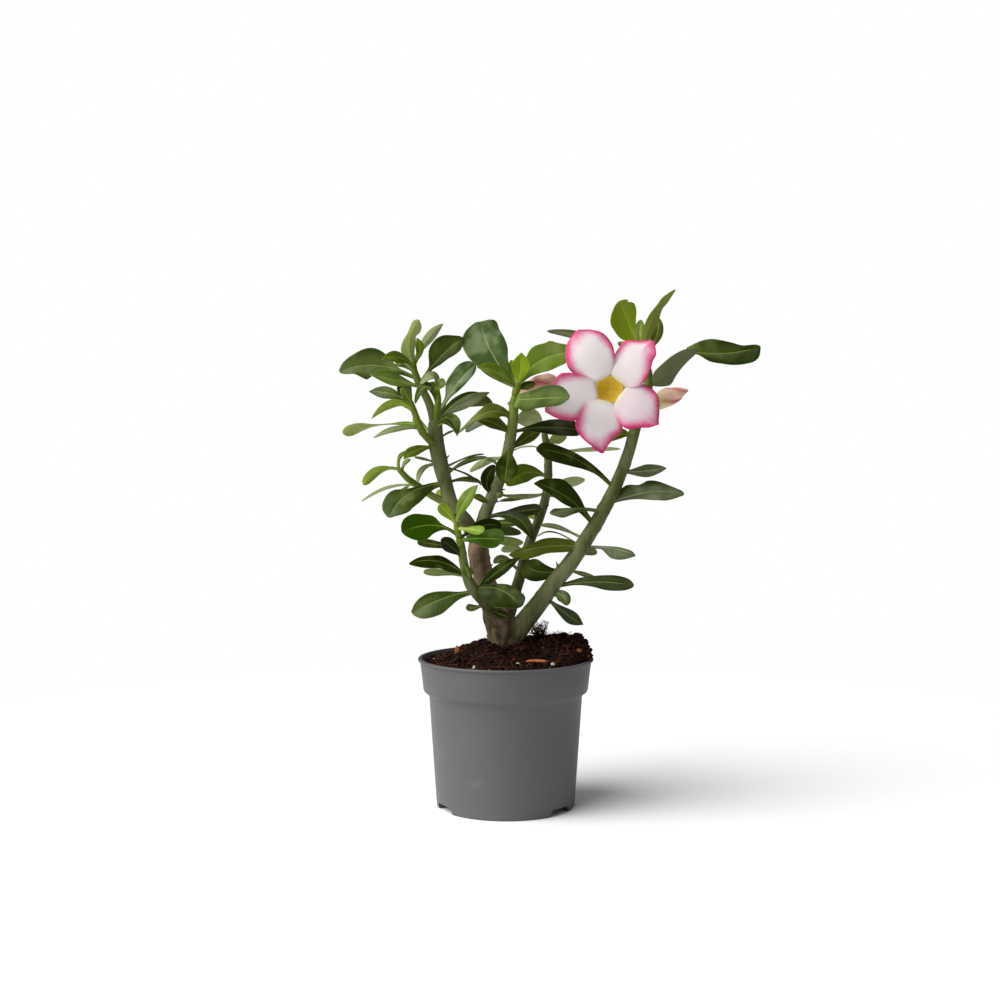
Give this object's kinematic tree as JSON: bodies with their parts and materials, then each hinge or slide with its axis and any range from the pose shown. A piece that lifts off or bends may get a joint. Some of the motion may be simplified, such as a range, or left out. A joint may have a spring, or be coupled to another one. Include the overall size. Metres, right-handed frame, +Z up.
{
  "type": "potted desert rose",
  "caption": "Branching desert rose with spoon-shaped leaves, a fleshy foot, an open flower and furled buds, in a tapered nursery pot.",
  "frame": {"origin": "middle of the whole plant's footprint box, on the plane that the pot stands on", "axes": "+Z up, -Y towards the side that the open flower faces, +X to that viewer's right"},
  "size_m": [0.2856, 0.1424, 0.3532],
  "materials": {
    "pot_plastic": "matte",
    "potting_soil": "rough, crumbly",
    "bark_chip": "rough",
    "perlite": "rough",
    "coir": "rough",
    "trunk_bark": "rough",
    "foliage": "semi-gloss",
    "young_foliage": "semi-gloss",
    "petal": "satin",
    "throat": "satin",
    "bud": "satin"
  },
  "bodies": {
    "root": {"pot": "pot_plastic", "soil": "potting_soil", "trunk": "trunk_bark", "left_stem": "foliage", "left_shoot_upper": "foliage", "left_shoot_young": "young_foliage", "left_shoot_outer": "foliage", "side_shoot": "foliage", "front_shoot": "foliage", "front_shoot_tip": "young_foliage", "middle_stem": "foliage", "middle_stem_tip": "young_foliage", "back_stem": "foliage", "right_stem": "foliage", "flower_petals": "petal", "flower_throat": "throat", "bud_right": "bud", "bud_left": "bud", "bark_chip_left": "bark_chip", "bark_chip_right": "bark_chip", "perlite_1": "perlite", "perlite_2": "perlite", "perlite_3": "perlite", "perlite_4": "perlite", "fibre_tuft": "coir"}
  },
  "joints": []
}
